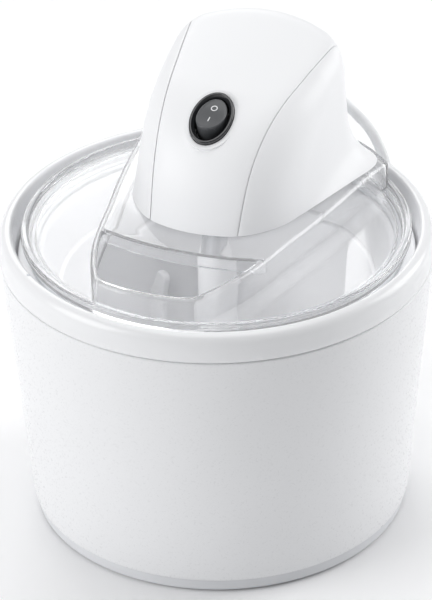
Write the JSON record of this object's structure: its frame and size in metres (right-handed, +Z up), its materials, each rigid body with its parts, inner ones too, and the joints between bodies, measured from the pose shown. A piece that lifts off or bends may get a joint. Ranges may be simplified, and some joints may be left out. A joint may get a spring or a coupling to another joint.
{
  "type": "ice cream maker",
  "caption": "Round white ice cream maker: lift-out freezer bowl, clear lid with raised platform and filling chute, paddle, and a wedge-shaped motor unit with a rocker switch.",
  "frame": {"origin": "middle of the underside, on the tub's axis, where the feet stand", "axes": "+Z up along the tub's axis, -Y towards the front (filling chute and switch), +X to the right seen from the front"},
  "size_m": [0.2261, 0.3154, 0.2461],
  "materials": {
    "housing_white": "white satin moulding",
    "rim_white": "white gloss moulding",
    "inner_grey": "plain light grey",
    "base_grey": "light grey satin",
    "pad_rubber": "matte",
    "screw_steel": "zinc plated",
    "bowl_white": "white",
    "liner_grey": "light grey coating on aluminium",
    "gel_blue": "frozen gel",
    "seal_silicone": "translucent silicone",
    "collar_white": "white",
    "lid_clear": "clear polished plastic",
    "paddle_frost": "frosted white",
    "cover_white": "white gloss moulding",
    "side_white": "white gloss moulding",
    "plate_white": "white satin",
    "shaft_steel": "turned",
    "gear_nylon": "natural nylon",
    "pinion_brass": "turned",
    "motor_steel": "zinc plated",
    "switch_black": "charcoal satin",
    "rocker_black": "charcoal satin",
    "relief_white": "soft white",
    "cord_white": "white flexible cord",
    "tie_black": "satin strap",
    "plug_white": "white moulded plug",
    "pin_brass": "nickelled brass"
  },
  "bodies": {
    "housing": {"outer_housing": "housing_white", "rim_ring": "rim_white", "inner_sleeve": "inner_grey", "base_cover": "base_grey", "foot_pad_1": "pad_rubber", "foot_pad_2": "pad_rubber", "foot_pad_3": "pad_rubber", "foot_pad_4": "pad_rubber", "base_screw_1": "screw_steel", "base_screw_2": "screw_steel", "base_screw_3": "screw_steel", "base_screw_4": "screw_steel"},
    "bowl": {"bowl_outer_shell": "bowl_white", "bowl_liner": "liner_grey", "coolant_gel": "gel_blue", "fill_plug": "seal_silicone", "bowl_collar": "collar_white"},
    "lid_seat": {"lid_seal": "seal_silicone"},
    "lid": {"lid": "lid_clear"},
    "paddle": {"paddle": "paddle_frost"},
    "drive_unit": {"middle_cover": "cover_white", "right_cover": "side_white", "left_cover": "side_white", "drive_base_plate": "plate_white", "cover_screw_1": "screw_steel", "cover_screw_2": "screw_steel", "cover_screw_3": "screw_steel", "cover_screw_4": "screw_steel", "idler_pin": "shaft_steel", "gearbox_case": "gear_nylon", "output_bearing": "pinion_brass", "gearbox_cover": "gear_nylon", "motor_can": "motor_steel", "motor_end_cap": "gear_nylon", "motor_stator": "motor_steel", "switch_housing": "switch_black", "strain_relief": "relief_white", "cord": "cord_white", "cord_coil": "cord_white", "cord_tie": "tie_black", "cord_tail": "cord_white", "plug_body": "plug_white", "plug_pin_1": "pin_brass", "plug_pin_2": "pin_brass"},
    "output": {"output_shaft": "shaft_steel", "output_gear": "gear_nylon"},
    "idler": {"idler_gear": "gear_nylon"},
    "rotor": {"motor_rotor": "motor_steel", "motor_pinion": "pinion_brass"},
    "rocker": {"switch_rocker": "rocker_black"}
  },
  "joints": [
    {"name": "bowl_lift", "type": "slide", "parent": "housing", "child": "bowl", "axis": [0, 0, 1], "range_m": [0, 0.18]},
    {"name": "lid_lift", "type": "slide", "parent": "bowl", "child": "lid_seat", "axis": [0, 0, 1], "range_m": [0, 0.15]},
    {"name": "lid_turn", "type": "hinge", "parent": "lid_seat", "child": "lid", "pos_m": [0, 0, 0.1633], "axis": [0, 0, 1], "range_deg": [0, 12]},
    {"name": "paddle_spin", "type": "hinge", "parent": "lid", "child": "paddle", "pos_m": [0, 0, 0.151], "axis": [0, 0, 1], "continuous": true},
    {"name": "drive_lift", "type": "slide", "parent": "lid", "child": "drive_unit", "axis": [0, 0, 1], "range_m": [0, 0.1]},
    {"name": "output_spin", "type": "hinge", "parent": "drive_unit", "child": "output", "pos_m": [0, 0, 0.184], "axis": [0, 0, 1], "continuous": true},
    {"name": "idler_spin", "type": "hinge", "parent": "drive_unit", "child": "idler", "pos_m": [0, 0.02655, 0.184], "axis": [0, 0, 1], "continuous": true},
    {"name": "motor_spin", "type": "hinge", "parent": "drive_unit", "child": "rotor", "pos_m": [0, 0.0506, 0.2], "axis": [0, 0, 1], "continuous": true},
    {"name": "rocker_tilt", "type": "hinge", "parent": "drive_unit", "child": "rocker", "pos_m": [0, -0.00199, 0.2232], "axis": [1, 0, 0], "range_deg": [0, 26]}
  ],
  "couplings": [
    {"joint": "output_spin", "follows": "paddle_spin", "ratio": 1},
    {"joint": "idler_spin", "follows": "paddle_spin", "ratio": -3.2},
    {"joint": "motor_spin", "follows": "paddle_spin", "ratio": 8.96}
  ]
}
